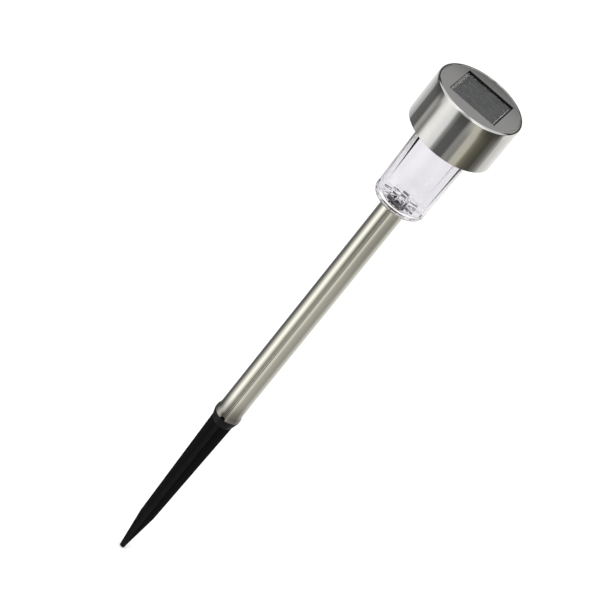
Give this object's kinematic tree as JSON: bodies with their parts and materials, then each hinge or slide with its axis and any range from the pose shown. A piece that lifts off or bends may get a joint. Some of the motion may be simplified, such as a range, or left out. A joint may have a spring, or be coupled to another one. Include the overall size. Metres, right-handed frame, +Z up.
{
  "type": "solar garden light",
  "caption": "Stake-mounted solar garden light: steel cap with square solar window, clear faceted lens, rolled steel pole and black ground spike.",
  "frame": {"origin": "on the light's axis at the ground line, where the blade of the spike meets its collar", "axes": "+Z up along the pole towards the cap; -Y is the side of the tube's seam; X and Y run along the sides of the square solar window"},
  "size_m": [0.05, 0.05, 0.361],
  "materials": {
    "spike_plastic": "moulded black polypropylene, satin",
    "tube_steel": "thin rolled stainless steel, bright drawn",
    "cap_steel": "thin deep-drawn stainless steel, bright, fine brushed top",
    "lens_clear": "clear moulded polystyrene, polished",
    "black_seal": "black foam frame",
    "panel_backing": "printed board, dark under the cells and grey round them",
    "solar_cell": "dark grey silicon cells",
    "clear_resin": "poured clear resin, glossy",
    "black_plastic": "moulded black plastic, fine texture",
    "plated_steel": "zinc or nickel plated steel",
    "cell_sleeve": "shrunk plastic sleeve, green, unprinted",
    "nickel_contact": "nickel plated spring steel",
    "board_green": "green solder mask",
    "chip_black": "moulded epoxy package, unmarked",
    "inductor_coat": "dipped lacquer, plain",
    "solder": "tin solder, bright",
    "led_epoxy": "clear epoxy lamp body",
    "wire_red": "soft plastic insulation, red",
    "wire_black": "soft plastic insulation, black"
  },
  "bodies": {
    "spike": {"ground_spike": "spike_plastic"},
    "pole": {"pole_tube": "tube_steel"},
    "lens": {"lens_cup": "lens_clear"},
    "cap": {"cap_shell": "cap_steel", "panel_seal": "black_seal", "panel_board": "panel_backing", "solar_cells": "solar_cell", "panel_resin": "clear_resin", "holder_tray": "black_plastic", "base_plate": "black_plastic", "base_screws": "plated_steel", "battery_can": "plated_steel", "battery_sleeve": "cell_sleeve", "battery_plus_cap": "plated_steel", "contact_plate": "nickel_contact", "contact_spring": "nickel_contact", "circuit_board": "board_green", "control_chip": "chip_black", "inductor": "inductor_coat", "solder_joints": "solder", "led_lamp": "led_epoxy", "led_leads": "nickel_contact", "switch_body": "plated_steel", "panel_wire_red": "wire_red", "panel_wire_black": "wire_black", "cell_wire_red": "wire_red", "cell_wire_black": "wire_black"},
    "switch": {"switch_slider": "black_plastic"}
  },
  "joints": [
    {"name": "tube_pull", "type": "slide", "parent": "spike", "child": "pole", "axis": [0, 0, 1], "range_m": [0, 0.03]},
    {"name": "lens_pull", "type": "slide", "parent": "pole", "child": "lens", "axis": [0, 0, 1], "range_m": [0, 0.02]},
    {"name": "cap_lift", "type": "slide", "parent": "lens", "child": "cap", "axis": [0, 0, 1], "range_m": [0, 0.03]},
    {"name": "switch_slide", "type": "slide", "parent": "cap", "child": "switch", "axis": [1, 0, 0], "range_m": [0, 0.002]}
  ]
}
